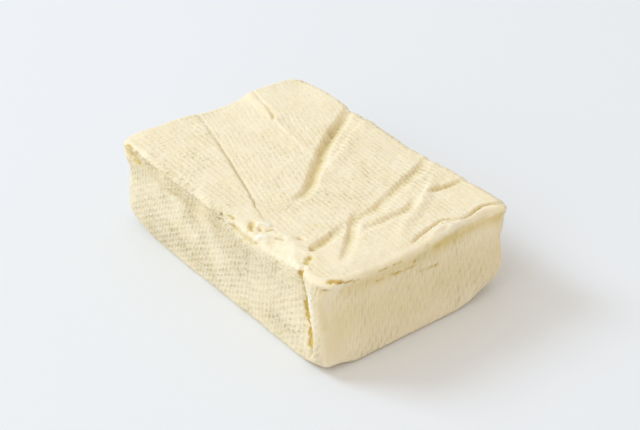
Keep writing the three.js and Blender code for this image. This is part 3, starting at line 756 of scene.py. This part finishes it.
class Slab:
    """The block's own form, without the cloth's imprint."""

    def __init__(self, shape):
        self.length = shape.length / MM
        self.width = shape.width / MM
        self.height = shape.height / MM
        self.corner = shape.corner_radius / MM
        self.split_corner = shape.split_corner_radius / MM
        self.top_radius = shape.top_radius / MM
        self.foot_radius = shape.foot_radius / MM
        self.us = self.lines(X_SPANS, self.length / 2)
        self.vs = self.lines(Y_SPANS, self.width / 2)

    def lines(self, spans, half):
        """Grid lines through spans with their own steps, as shares from -1 to 1."""
        lines = [spans[0][0]]
        for start, end, step in spans:
            lines.extend(np.linspace(start, end, round((end - start) / step) + 1)[1:])
        count = (len(lines) - 1) // UNDERSIDE_SHARE * UNDERSIDE_SHARE
        spread = np.interp(np.linspace(0, len(lines) - 1, count + 1), range(len(lines)), lines)
        return spread / half

    def outline(self, u, v, inset, z=0):
        """A place on the rectangle, pulled onto the one with rounded corners."""
        half_x, half_y = self.length / 2 - inset, self.width / 2 - inset
        flap = smooth((z - FLAP_HEIGHT) / FLAP_SPAN)
        split_corner = self.split_corner + (self.corner - self.split_corner) * flap
        radius = np.where((u > 0) & (v < 0), split_corner, self.corner)
        over_x = (np.abs(u) * half_x - (half_x - radius)) / radius
        over_y = (np.abs(v) * half_y - (half_y - radius)) / radius
        inside = (over_x <= 0) | (over_y <= 0)
        cx, cy = clamp01(over_x), clamp01(over_y)
        round_x = half_x - radius + radius * cx * np.sqrt(1 - cy * cy / 2)
        round_y = half_y - radius + radius * cy * np.sqrt(1 - cx * cx / 2)
        x = np.where(inside, u * half_x, np.sign(u) * round_x)
        y = np.where(inside, v * half_y, np.sign(v) * round_y)
        return x, y

    def wall_offset(self, name, along, length, z):
        """How far a wall swells out of the plain slab."""
        share = along / length + 0.5
        return sum(
            along_list(WALLS[name][band], share) * bell((z - height) / span)
            for band, (height, span) in WALL_BANDS.items()
        )

    def split_offset(self, x, z):
        """How far the strip stands out of the front wall, or the split runs into it."""
        height = z / self.height
        jag = sum(size * np.sin(2 * math.pi * z / wave) for size, wave in SPLIT_JAGS)
        from_split = x - SPLIT_X - jag
        narrow = np.abs(from_split) / along_list(SPLIT_HALF_WIDTHS, height)
        cleft = along_list(SPLIT_DEPTHS, height) * np.sqrt(clamp01(1 - narrow))
        shoulder = np.where(from_split < 0, bell(from_split / SHOULDER_REACH), 0)
        cleft = cleft + SHOULDER_DEPTH * shoulder * bell((z - SHOULDER_HEIGHT) / SHOULDER_SPAN)
        foot = clamp01((z - STRIP_END) / STRIP_FOOT_FADE)
        head = clamp01((self.height + STRIP_END - z) / STRIP_HEAD_FADE)
        reach = np.where(x < STRIP_X, *STRIP_REACH)
        return STRIP_PROUD * (foot * head) * bell((x - STRIP_X) / reach) - cleft

    def moulded(self, x, y, z):
        """Moves places of the plain rounded slab with the walls beside them."""
        reach_x = bell((self.length / 2 - np.abs(x)) / SWELL_REACH)
        reach_y = bell((self.width / 2 - np.abs(y)) / SWELL_REACH)
        near, far = (self.wall_offset(name, y, self.width, z) for name in ("near", "far"))
        back, front = (self.wall_offset(name, x, self.length, z) for name in ("back", "front"))
        lean = along_list(SPLIT_LEANS, z / self.height) * bell((x - SPLIT_X) / SPLIT_LEAN_REACH)
        out_x = np.sign(x) * reach_x * np.where(x > 0, near, far) + np.where(y < 0, reach_y * lean, 0)
        out_y = reach_y * np.where(y > 0, back, front + self.split_offset(x, z))
        draw_x, draw_y = CORNER_DRAW_REACH
        draw = bell((self.length / 2 - x) / draw_x) * bell((y + self.width / 2) / draw_y)
        out_x = out_x - along_list(CORNER_DRAWS, z / self.height) * draw
        return x + out_x, y + np.sign(y) * out_y

    def top(self):
        """The top's grid of points, rows along Y."""
        u, v = np.meshgrid(self.us, self.vs)
        x, y = self.outline(u, v, self.top_radius, self.height)
        x, y = self.moulded(x, y, np.full(x.shape, self.height))
        x, y = gathered(x, y)
        return np.stack([x, y, self.height + top_relief(x, y)], -1)

    def rim_places(self):
        """Row and column of each grid place round the rim, counter-clockwise."""
        last_u, last_v = len(self.us) - 1, len(self.vs) - 1
        columns = np.arange(last_u)
        rows = np.arange(last_v)
        row = np.concatenate([0 * columns, rows, 0 * columns + last_v, last_v - rows])
        column = np.concatenate([columns, 0 * rows + last_u, last_u - columns, 0 * rows])
        return row, column

    def foot_round(self, u, v):
        """Rounding of the underside's edge, larger towards its corners."""
        off = (1 - np.abs(u)) * self.length / 2 + (1 - np.abs(v)) * self.width / 2
        foot = np.full(u.shape, self.foot_radius)
        for (side_u, side_v), (radius, reach) in FOOT_CORNERS.items():
            here = (np.where(u > 0, 1, -1) == side_u) & (np.where(v > 0, 1, -1) == side_v)
            foot += here * (radius - self.foot_radius) * bell(off / reach)
        return foot

    def walls(self, u, v, rim_z):
        """Rings of points from the underside's edge up to just below the rim."""
        foot = self.foot_round(u, v)
        shoulder = rim_z - self.top_radius
        places = []
        for turn in np.linspace(0, math.pi / 2, FOOT_ROUND_STEPS + 1):
            places.append((foot * (1 - math.sin(turn)), foot * (1 - math.cos(turn))))
        for share in np.linspace(0, 1, WALL_STEPS + 1)[1:]:
            places.append((0 * foot, foot + (shoulder - foot) * share))
        for turn in np.linspace(0, math.pi / 2, TOP_ROUND_STEPS + 1)[1:-1]:
            inset = 0 * foot + self.top_radius * (1 - math.cos(turn))
            places.append((inset, shoulder + self.top_radius * math.sin(turn)))
        rings = []
        for inset, z in places:
            x, y = self.moulded(*self.outline(u, v, inset, z), z)
            rings.append(np.stack([x, y, z], -1))
        return np.stack(rings)

    def underside(self):
        """The underside's coarse grid of points, rows along Y."""
        u, v = np.meshgrid(self.us[::UNDERSIDE_SHARE], self.vs[::UNDERSIDE_SHARE])
        x, y = self.outline(u, v, self.foot_round(u, v) + UNDERSIDE_INSET)
        return np.stack([x, y, 0 * x], -1)


def numbered(grid, start):
    """Vertex numbers of a grid of points that follow on from a start."""
    shape = grid.shape[:2]
    return start + np.arange(shape[0] * shape[1]).reshape(shape)


def grid_faces(rows):
    """Four-cornered faces between rows of vertex numbers."""
    quads = np.stack([rows[:-1, :-1], rows[:-1, 1:], rows[1:, 1:], rows[1:, :-1]], -1)
    return quads.reshape(-1, 4).tolist()


def slab_faces(slab, top, rings, under):
    """Faces over numbered points: the top, the walls, the underside and the seam round it."""
    row, column = slab.rim_places()
    loop = np.concatenate([rings, top[row, column][None]])
    loop = np.concatenate([loop, loop[:, :1]], 1)
    faces = grid_faces(top) + grid_faces(loop) + grid_faces(under[::-1])
    share = UNDERSIDE_SHARE
    inner = under[row[::share] // share, column[::share] // share]
    outer = rings[0]
    for index in range(len(inner)):
        here = [outer[(index * share + k) % len(outer)] for k in range(share + 1)]
        faces.append([inner[index], inner[(index + 1) % len(inner)], *here[::-1]])
    return [list(map(int, face)) for face in faces]


def vertex_normals(points, faces):
    """Area-weighted normals from the four-cornered faces."""
    quads = np.array([face for face in faces if len(face) == 4])
    a, b, c, d = (points[quads[:, k]] for k in range(4))
    normal = np.cross(c - a, d - b)
    total = np.zeros(points.shape)
    for k in range(4):
        np.add.at(total, quads[:, k], normal)
    return total / np.maximum(np.linalg.norm(total, axis=1), 1e-12)[:, None]


# --- Cloth imprint ---


def cloth_height(cloth, weave):
    """Height of a plain-woven cloth at places counted in threads."""
    cu, cv = np.cos(math.pi * cloth[:, 0]), np.cos(math.pi * cloth[:, 1])
    warp = np.abs(cu) * (1 - OVER_SHARE + OVER_SHARE * np.sign(cu) * cv)
    weft = np.abs(cv) * (1 - OVER_SHARE - OVER_SHARE * np.sign(cv) * cu)
    return np.maximum(warp * weave[:, 0], weft * weave[:, 1])


def threads(lay, x, y):
    """Threads counted from the middle of the block."""
    along_x, along_y = lay
    return along_x * x + along_y * y


def front_threads(along, z):
    """Upright threads counted along the front wall: they lean, most of all left of its middle."""
    lean = FRONT_LEAN + FRONT_MORE_LEAN * bell((along - FRONT_LEAN_X) / FRONT_LEAN_REACH)
    return FRONT_THREADS * along + FRONT_CROWDING * along**2 + lean * (z - FRONT_MIDDLE)


def top_cloth(slab, x, y):
    """Thread counts over the top: the cloth lay at another angle on each side of the folds."""
    beyond_cut, beyond_trough = (place_on_crease(spline_points(fold), x, y)[0] for fold in CLOTH_FOLDS)
    beyond = np.stack([threads(lay, x, y) for lay in LAY_BEYOND_TROUGH], -1)
    before = np.stack([threads(lay, x, y) for lay in LAY_BEFORE_TROUGH], -1)
    by_front = np.stack([front_threads(x, slab.height), threads(LAY_BY_FRONT, x, y)], -1)
    cloth = np.where((beyond_trough > 0)[..., None], beyond, before)
    return np.where((beyond_cut < 0)[..., None], by_front, cloth)


def fold_fade(x, y):
    """Threads fade out where the cloth changes its angle."""
    fade = np.ones(x.shape)
    for fold in CLOTH_FOLDS:
        distance, _ = place_on_crease(spline_points(fold), x, y)
        fade = fade * smooth((np.abs(distance) - FOLD_HALF_WIDTH) / FOLD_FADE)
    return fade


def wall_cloth(slab, row_pitch, rings, rim, rim_cloth, u, v):
    """Thread counts over the side walls and over the end walls, on from those at the rim."""
    z = rings[..., 2]
    down = (rim[:, 2] - z) / row_pitch
    front, back = front_threads(u * slab.length / 2, z), rim_cloth[:, 0] + WALL_LEAN * down
    side_level = rim_cloth[:, 1] + np.sign(v) * down
    end_level = rim_cloth[:, 0] + END_ROWS * np.sign(u) * down
    end_upright = END_THREADS * rim_cloth[:, 1] + WALL_LEAN * down
    sides = np.stack([np.where(v < 0, front, back), side_level], -1)
    return sides, np.stack([end_level, end_upright], -1)


def wall_weave(skin, z, from_corner):
    """Strengths of the threads and fibres of the side walls and of the end walls."""
    fade = smooth(from_corner / CORNER_FADE) * smooth(z / FOOT_FADE)
    upright, level = skin.wall_weave
    gain = 1 + LEVEL_GAIN * smooth((z - LEVEL_GAIN_FROM) / LEVEL_GAIN_SPAN)
    side_fibres, end_fibres = skin.wall_fibres
    sides = np.stack([upright * fade, level * gain * fade, side_fibres * fade], -1)
    share = skin.end_share * fade
    return sides, np.stack([level * share, upright * share, end_fibres * fade], -1)


def cloth_places(slab, skin, top, rings, rim, u, v, count):
    """Cloth coordinates in threads, and how strongly each set of threads shows."""
    cloth = np.zeros((count, 2))
    weave = np.zeros((count, 3))
    top_count = top.shape[0] * top.shape[1]
    wall = slice(top_count, top_count + rings.shape[0] * rings.shape[1])
    on_top = top_cloth(slab, top[..., 0], top[..., 1])
    cloth[:top_count] = on_top.reshape(-1, 2)
    weave[:top_count] = (*skin.top_weave, skin.top_fibres)
    weave[:top_count] *= fold_fade(top[..., 0], top[..., 1]).reshape(-1, 1)

    row, column = slab.rim_places()
    rim_cloth = on_top[row, column]
    from_end, from_side = (1 - np.abs(u)) * slab.length, (1 - np.abs(v)) * slab.width
    on_side = from_end > from_side
    from_corner = np.abs(from_end - from_side) / 2
    sides, ends = wall_cloth(slab, skin.row_pitch / MM, rings, rim, rim_cloth, u, v)
    on_wall = np.where(on_side[:, None], sides, ends)
    cloth[wall] = on_wall.reshape(-1, 2)
    sides, ends = wall_weave(skin, rings[..., 2], from_corner)
    weave[wall] = np.where(on_side[:, None], sides, ends).reshape(-1, 3)

    missed = np.abs(on_wall[-1] - rim_cloth).max(-1)
    meeting = smooth((MISSED_THREADS - missed) / MISSED_SPAN)
    near_rim = smooth((rim[:, 2] - rings[..., 2] - RIM_WIDTH) / RIM_FADE)
    folded = np.where(on_side & (v < 0), 1, fold_fade(rim[:, 0], rim[:, 1]))
    weave[wall] *= ((meeting + (1 - meeting) * near_rim) * folded).reshape(-1, 1)
    weave[row * top.shape[1] + column] *= meeting[:, None]
    return cloth, weave


# --- Block ---


def with_marks(points, normals, noise):
    """Sinks cuts, pits and flaked curd into the skin, and gives how yellow each is painted, painted shade
    too, and how pale, painted highlights too.
    """
    probe = points + MARK_WOBBLE * noise.shifts(points, MARK_WOBBLE_SIZE, (5, 55, 95))
    sink = np.zeros(len(points))
    stain_and_shade = np.zeros((len(points), 2))
    for mark in MARKS:
        path = np.array(mark.path, float)
        reach = max(mark.above, mark.below)
        low, high = path.min(0) - reach, path.max(0) + reach
        near = np.flatnonzero(((probe > low) & (probe < high)).all(1))
        here = probe[near]
        best = np.full(len(near), np.inf)
        along = np.zeros(len(near))
        over = np.zeros(len(near))
        for index in range(len(path) - 1):
            start, step = path[index], path[index + 1] - path[index]
            share = clamp01((here - start) @ step / (step @ step))
            away = here - start - share[:, None] * step
            distance = np.linalg.norm(away, axis=1)
            closer = distance < best
            best = np.where(closer, distance, best)
            over = np.where(closer, away[:, 2], over)
            along = np.where(closer, (index + share) / (len(path) - 1), along)
        shape = bell(best / np.where(over > 0, mark.above, mark.below))
        sink[near] += along_list(mark.depths, along) * shape
        stain_and_shade[near] += np.outer(shape, (mark.stain_and_shade, mark.pale))
    return points - normals * sink[:, None], stain_and_shade


def split_stain(slab, rings, u, v):
    """How yellow the inside of the split is, for each point of the walls."""
    x, _ = slab.outline(u, v, 0, rings[..., 2])
    depth = -slab.split_offset(x, rings[..., 2])
    on_front = v == v.min()
    return (SPLIT_STAIN * smooth((depth - SPLIT_STAIN_FROM) / SPLIT_STAIN_SPAN) * on_front).ravel()


def drifted(cloth, points, noise):
    """The cloth as it drifted a little over the skin."""
    for drift, size in CLOTH_DRIFTS:
        cloth = cloth + drift * noise.shifts(points, size, (0, 40))
    return cloth


def varied(weave, points, noise):
    """The weave with the places where the skin is smoother or more strongly woven."""
    for centre, reach, change in WEAVE_CHANGES:
        weave = weave * (1 + change * near_place(points, centre, reach))[:, None]
    spread = WEAVE_SPREAD * noise.rough(points, WEAVE_SIZE, 2)
    return weave * np.maximum(0, WEAVE_MEAN + spread)[:, None]


def skin_lumps(points, torn, noise):
    """Height of the low lumps of the skin, fading out at the underside."""
    lumps = sum(height * noise.rough(points, size, octaves) for height, size, octaves in LUMPS)
    lumps += torn * TORN_LUMPS * noise.rough(points + 60, TORN_LUMP_SIZE)
    return lumps * smooth(points[:, 2] / 2)


def keep(mesh, name, parts):
    """Keeps up to three numbers at each vertex under a name, for the material."""
    values = np.zeros((len(parts), 3), np.float32)
    values[:, : parts.shape[1]] = parts
    mesh.attributes.new(name, "FLOAT_VECTOR", "POINT").data.foreach_set("vector", values.ravel())


def build_block(shape, skin):
    slab = Slab(shape)
    noise = Noise(skin.seed)
    top = slab.top()
    row, column = slab.rim_places()
    rim = top[row, column]
    u, v = slab.us[column], slab.vs[row]
    rings = slab.walls(u, v, rim[:, 2])
    under = slab.underside()
    points = np.concatenate([grid.reshape(-1, 3) for grid in (top, rings, under)])
    top_numbers = numbered(top, 0)
    ring_numbers = numbered(rings, top_numbers.size)
    under_numbers = numbered(under, top_numbers.size + ring_numbers.size)
    faces = slab_faces(slab, top_numbers, ring_numbers, under_numbers)

    cloth, weave = cloth_places(slab, skin, top, rings, rim, u, v, len(points))
    # painted shade of the creases; it also strengthens the weave at their bottoms
    folds = crease_shade(top[..., 0], top[..., 1])
    normals = vertex_normals(points, faces)
    points, stain_and_shade = with_marks(points, normals, noise)
    torn = near_place(points, TORN_CENTRE, TORN_REACH)
    # gold down in the split, and the creases' painted shade: yellow where above zero, pale where below
    stain_and_shade[ring_numbers.ravel(), 0] += split_stain(slab, rings, u, v)
    stain_and_shade[: len(folds)] += np.stack([np.maximum(folds, 0), -np.minimum(folds, 0)], -1)
    stain_and_shade[:, 1] += TORN_PALE * torn
    cloth = drifted(cloth, points, noise)
    weave = varied(weave, points, noise)
    weave[: len(folds), :2] *= 1 + CREASE_WEAVE * clamp01(folds)[:, None]

    sunk = SUNK_SHARE * skin.weave_depth / MM * cloth_height(cloth, weave)
    points = points + normals * (skin_lumps(points, torn, noise) - sunk)[:, None]
    points[:, 2] = np.maximum(points[:, 2], 0)

    mesh = bpy.data.meshes.new("tofu_block_curd")
    mesh.from_pydata((points * MM).tolist(), [], faces)
    mesh.update()
    mesh.shade_smooth()
    for name, parts in (("cloth", cloth), ("weave", weave), ("stain_and_shade", stain_and_shade)):
        keep(mesh, name, parts)
    block = bpy.data.objects.new("curd_block", mesh)
    bpy.context.scene.collection.objects.link(block)
    return block


# --- Material ---


class Shading:
    """Short forms for building shader nodes."""

    def __init__(self, material):
        material.use_nodes = True
        self.nodes, self.links = material.node_tree.nodes, material.node_tree.links
        self.shader = self.nodes["Principled BSDF"]

    def put(self, socket, value):
        if isinstance(value, bpy.types.NodeSocket):
            self.links.new(value, socket)
        else:
            socket.default_value = value

    def math(self, operation, *values):
        node = self.nodes.new("ShaderNodeMath")
        node.operation = operation
        for socket, value in zip(node.inputs, values):
            self.put(socket, value)
        return node.outputs[0]

    def kept(self, name):
        """The three numbers kept at each vertex under a name."""
        node = self.nodes.new("ShaderNodeAttribute")
        node.attribute_name = name
        return node.outputs["Vector"]

    def parts(self, name):
        split = self.nodes.new("ShaderNodeSeparateXYZ")
        self.links.new(self.kept(name), split.inputs[0])
        return list(split.outputs)

    def noise(self, scale, detail, roughness=0.5, place=None):
        """Noise of the place in the block, or of another place."""
        if place is None:
            place = self.nodes.new("ShaderNodeTexCoord").outputs["Object"]
        node = self.nodes.new("ShaderNodeTexNoise")
        self.links.new(place, node.inputs["Vector"])
        node.inputs["Scale"].default_value = scale
        node.inputs["Detail"].default_value = detail
        node.inputs["Roughness"].default_value = roughness
        return node.outputs["Fac"]

    def blend(self, share, first, second):
        """The second colour over the first one: sockets 6 and 7 of the node, and 2 comes out."""
        node = self.nodes.new("ShaderNodeMix")
        node.data_type = "RGBA"
        self.put(node.inputs[0], share)
        self.put(node.inputs[6], first)
        self.put(node.inputs[7], second)
        return node.outputs[2]

    def scaled(self, place, factors):
        node = self.nodes.new("ShaderNodeVectorMath")
        node.operation = "MULTIPLY"
        self.links.new(place, node.inputs[0])
        node.inputs[1].default_value = factors
        return node.outputs[0]

    def ramp(self, value, low, high, to_low=0, to_high=1):
        """Takes a value from one span to another, and stops at its ends."""
        node = self.nodes.new("ShaderNodeMapRange")
        self.put(node.inputs["Value"], value)
        ends = {"From Min": low, "From Max": high, "To Min": to_low, "To Max": to_high}
        for name, number in ends.items():
            node.inputs[name].default_value = number
        return node.outputs["Result"]

    def bump(self, height, distance, normal=None):
        """A bump, on top of another one where its normal is given."""
        node = self.nodes.new("ShaderNodeBump")
        node.inputs["Distance"].default_value = distance
        self.put(node.inputs["Height"], height)
        if normal:
            self.links.new(normal, node.inputs["Normal"])
        return node.outputs["Normal"]


def cloth_imprint(shading):
    """Height of the cloth that pressed the skin, as in cloth_height()."""
    u, v, _ = shading.parts("cloth")
    strength_u, strength_v, _ = shading.parts("weave")
    cu = shading.math("COSINE", shading.math("MULTIPLY", u, math.pi))
    cv = shading.math("COSINE", shading.math("MULTIPLY", v, math.pi))
    heights = []
    for mine, other, sign, strength in ((cu, cv, 1, strength_u), (cv, cu, -1, strength_v)):
        side = shading.math("MULTIPLY", shading.math("SIGN", mine), sign * OVER_SHARE)
        over = shading.math("MULTIPLY_ADD", side, other, 1 - OVER_SHARE)
        thread = shading.math("MULTIPLY", shading.math("ABSOLUTE", mine), over)
        heights.append(shading.math("MULTIPLY", thread, strength))
    return shading.math("MAXIMUM", *heights)


def skin_colour(shading, skin, imprint, fibre):
    """Cloudy curd, with painted shade in the weave and between fibres, darker specks, yellow stained
    places and painted shade, flaked places and painted highlights, gold down in the split, and brown in
    each gash and as painted shade.
    """
    yellow, pale, _ = shading.parts("stain_and_shade")
    clouds = shading.ramp(shading.noise(110, 3), 0.35, 0.65)
    # torn flakes, and painted highlights and sheen on lit edges, in the flake colour
    flakes_and_highlights = shading.ramp(pale, 0, 1)
    # painted shade in the weave's grooves
    grooves = shading.ramp(imprint, 0.2, 2.2, 0, 0.26)
    # painted shade in the hollows between fibres
    hollows = shading.ramp(fibre, 0, -0.2, 0, 0.2)
    specks = shading.ramp(shading.noise(900, 3, 0.7), 0.6, 0.72, 0, 0.4)
    # stains, and painted shade in creases, recesses, beneath overhangs and over the shaded near wall
    stains_and_shade = shading.ramp(yellow, 0.1, 0.9, 0, 0.95)
    depths = shading.ramp(yellow, 1.3, 1.9)
    # brown in gashes, and painted shade in pits, in the crack above the split and beside the strip
    gashes_and_shade = shading.ramp(pale, -0.1, -0.9, 0, 0.7)
    colour = shading.blend(clouds, (*skin.curd, 1), (*skin.pale_patch, 1))
    colour = shading.blend(flakes_and_highlights, colour, (*skin.flake, 1))
    for share in (grooves, hollows, specks, stains_and_shade):
        colour = shading.blend(share, colour, (*skin.inner, 1))
    colour = shading.blend(depths, colour, (*skin.gold, 1))
    return shading.blend(gashes_and_shade, colour, (*skin.gash_brown_and_shade, 1))


def uneven_imprint(shading):
    """The imprint, which came out stronger and weaker in patches and from thread to thread."""
    threads = shading.kept("cloth")
    patchy = shading.ramp(shading.noise(0.35, 2, 0.6, threads), 0.3, 0.7, 0.5, 1.5)
    broken = shading.ramp(shading.noise(1.2, 1, 0.5, threads), 0.35, 0.65, 0.55, 1.45)
    return shading.math("MULTIPLY", cloth_imprint(shading), shading.math("MULTIPLY", patchy, broken))


def loose_fibres(shading):
    """Height of fibres that run more along the upright threads than across them."""
    fibre = shading.noise(1, 4, 0.75, shading.scaled(shading.kept("cloth"), (1.2, 0.6, 1)))
    _, _, strength = shading.parts("weave")
    return shading.math("MULTIPLY", shading.math("SUBTRACT", fibre, 0.5), strength)


def curd_material(skin):
    material = bpy.data.materials.new("pressed_curd")
    shading = Shading(material)
    imprint, fibre = uneven_imprint(shading), loose_fibres(shading)
    relief = shading.math("MULTIPLY_ADD", fibre, skin.fibre_share, shading.math("MULTIPLY", imprint, -1.0))
    weave = shading.bump(relief, skin.weave_depth)
    grain = shading.bump(shading.noise(1500, 4, 0.6), skin.grain_depth, weave)
    inputs = shading.shader.inputs
    shading.put(inputs["Base Color"], skin_colour(shading, skin, imprint, fibre))
    shading.put(inputs["Normal"], grain)
    inputs["Roughness"].default_value = 0.62
    inputs["Subsurface Weight"].default_value = 0.3
    inputs["Subsurface Radius"].default_value = (1.0, 0.9, 0.55)
    inputs["Subsurface Scale"].default_value = 0.0006
    inputs["Specular IOR Level"].default_value = 0.3
    return material


def floor_material(stage):
    material = bpy.data.materials.new("floor_card")
    material.use_nodes = True
    inputs = material.node_tree.nodes["Principled BSDF"].inputs
    inputs["Base Color"].default_value = (*stage.floor_colour, 1)
    inputs["Roughness"].default_value = 0.9
    inputs["Specular IOR Level"].default_value = 0.1
    return material


# --- Stage ---


def direction_to(azimuth, elevation):
    """Unit vector towards a place at the given angles."""
    level = math.cos(elevation)
    return Vector((math.cos(azimuth) * level, math.sin(azimuth) * level, math.sin(elevation)))


def look_back(thing, stage, azimuth, elevation, distance):
    """Puts a light or a camera at a distance from the aim and turns it to face it."""
    towards = direction_to(azimuth, elevation)
    thing.location = Vector(stage.camera_aim) + towards * distance
    thing.rotation_euler = (-towards).to_track_quat("-Z", "Y").to_euler()
    bpy.context.scene.collection.objects.link(thing)


def add_floor(stage):
    bpy.ops.mesh.primitive_circle_add(vertices=96, radius=stage.floor_radius, fill_type="NGON")
    floor = bpy.context.object
    floor.name = "floor"
    floor.data.materials.append(floor_material(stage))


def area_light(name, size, energy, colour):
    light = bpy.data.lights.new(name, "AREA")
    light.shape = "SQUARE"
    light.size = size
    light.energy = energy
    light.color = colour
    return bpy.data.objects.new(name, light)


def add_lights(stage):
    key = area_light("key_light", stage.key_size, stage.key_power, stage.key_colour)
    look_back(key, stage, stage.key_azimuth, stage.key_elevation, stage.light_distance)
    fill = area_light("fill_light", stage.fill_size, stage.fill_power, stage.fill_colour)
    look_back(fill, stage, stage.fill_azimuth, stage.fill_elevation, stage.light_distance)
    world = bpy.data.worlds.new("studio")
    world.use_nodes = True
    background = world.node_tree.nodes["Background"]
    background.inputs["Color"].default_value = (*stage.sky_colour, 1)
    background.inputs["Strength"].default_value = stage.sky
    bpy.context.scene.world = world
    bpy.context.scene.view_settings.view_transform = "Standard"


def add_camera(stage):
    lens = bpy.data.cameras.new("camera")
    lens.lens = stage.lens
    lens.sensor_width = stage.film
    lens.clip_start = 0.01
    camera = bpy.data.objects.new("camera", lens)
    look_back(camera, stage, stage.camera_azimuth, stage.camera_elevation, stage.camera_distance)
    bpy.context.scene.camera = camera


# --- Operators ---


class TOFU_OT_block(bpy.types.Operator):
    """Build the block of curd"""

    bl_idname = "tofu.block"
    bl_label = "Tofu Block"

    def execute(self, context):
        block = build_block(context.scene.tofu_shape, context.scene.tofu_skin)
        block.data.materials.append(curd_material(context.scene.tofu_skin))
        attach(block, "root")
        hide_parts("tofu_block")
        return {"FINISHED"}


class TOFU_OT_stage(bpy.types.Operator):
    """Build the floor, the lights and the camera"""

    bl_idname = "tofu.stage"
    bl_label = "Floor, Lights and Camera"

    def execute(self, context):
        stage = context.scene.tofu_stage
        add_floor(stage)
        add_lights(stage)
        add_camera(stage)
        return {"FINISHED"}


class TOFU_PT_panel(bpy.types.Panel):
    """Buttons for the block and its stage"""

    bl_label = "Tofu Block"
    bl_idname = "TOFU_PT_panel"
    bl_space_type = "VIEW_3D"
    bl_region_type = "UI"
    bl_category = "Tofu"

    def draw(self, context):
        column = self.layout.column()
        column.operator(TOFU_OT_block.bl_idname)
        column.operator(TOFU_OT_stage.bl_idname)


CLASSES = (TofuShape, TofuSkin, TofuStage, TOFU_OT_block, TOFU_OT_stage, TOFU_PT_panel)


def register():
    for item in CLASSES:
        bpy.utils.register_class(item)
    bpy.types.Scene.tofu_shape = PointerProperty(type=TofuShape)
    bpy.types.Scene.tofu_skin = PointerProperty(type=TofuSkin)
    bpy.types.Scene.tofu_stage = PointerProperty(type=TofuStage)


def unregister():
    del bpy.types.Scene.tofu_stage
    del bpy.types.Scene.tofu_skin
    del bpy.types.Scene.tofu_shape
    for item in reversed(CLASSES):
        bpy.utils.unregister_class(item)


def main():
    register()
    bpy.ops.tofu.block()
    bpy.ops.tofu.stage()


if __name__ == "__main__":
    main()
